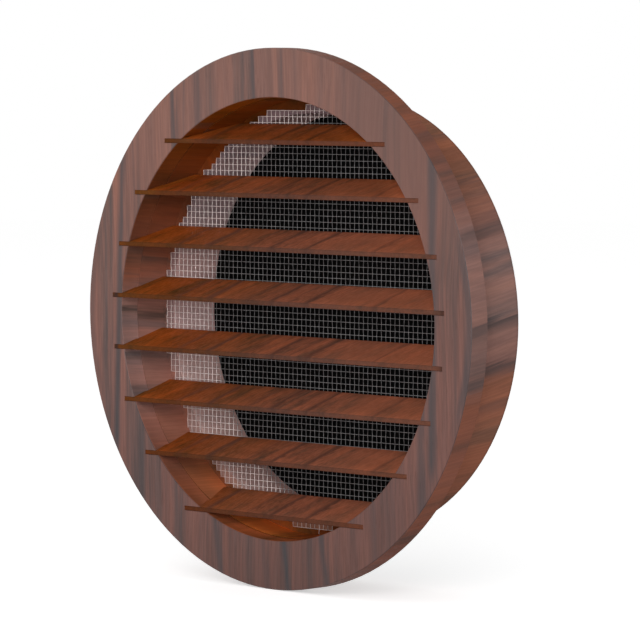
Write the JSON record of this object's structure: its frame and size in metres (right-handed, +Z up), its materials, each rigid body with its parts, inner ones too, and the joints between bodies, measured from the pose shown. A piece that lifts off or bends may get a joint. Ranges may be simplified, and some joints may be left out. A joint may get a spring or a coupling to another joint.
{
  "type": "round vent grille",
  "caption": "Round wooden wall vent: flat front ring, sloping slats across its opening, wire mesh behind them and a deep sleeve closed by a black insect screen.",
  "frame": {"origin": "on the vent's axis, in the plane of the front ring's back face, where it meets the wall", "axes": "+Y along the axis into the wall, +X along the slats, +Z up; the slats face -Y"},
  "size_m": [0.5587, 0.1233, 0.5588],
  "materials": {
    "ring_wood": "satin oiled, dark streaked grain",
    "slat_wood": "satin oiled, warm brown",
    "sleeve_wood": "satin oiled, grain along the depth",
    "galvanised_wire": "dull zinc",
    "black_screen": "matt black, fine weave"
  },
  "bodies": {
    "root": {"front_ring": "ring_wood", "sleeve": "sleeve_wood", "slat_1": "slat_wood", "slat_2": "slat_wood", "slat_3": "slat_wood", "slat_4": "slat_wood", "slat_5": "slat_wood", "slat_6": "slat_wood", "slat_7": "slat_wood", "slat_8": "slat_wood", "wire_mesh": "galvanised_wire", "screen_hoop": "sleeve_wood", "insect_screen": "black_screen"}
  },
  "joints": []
}
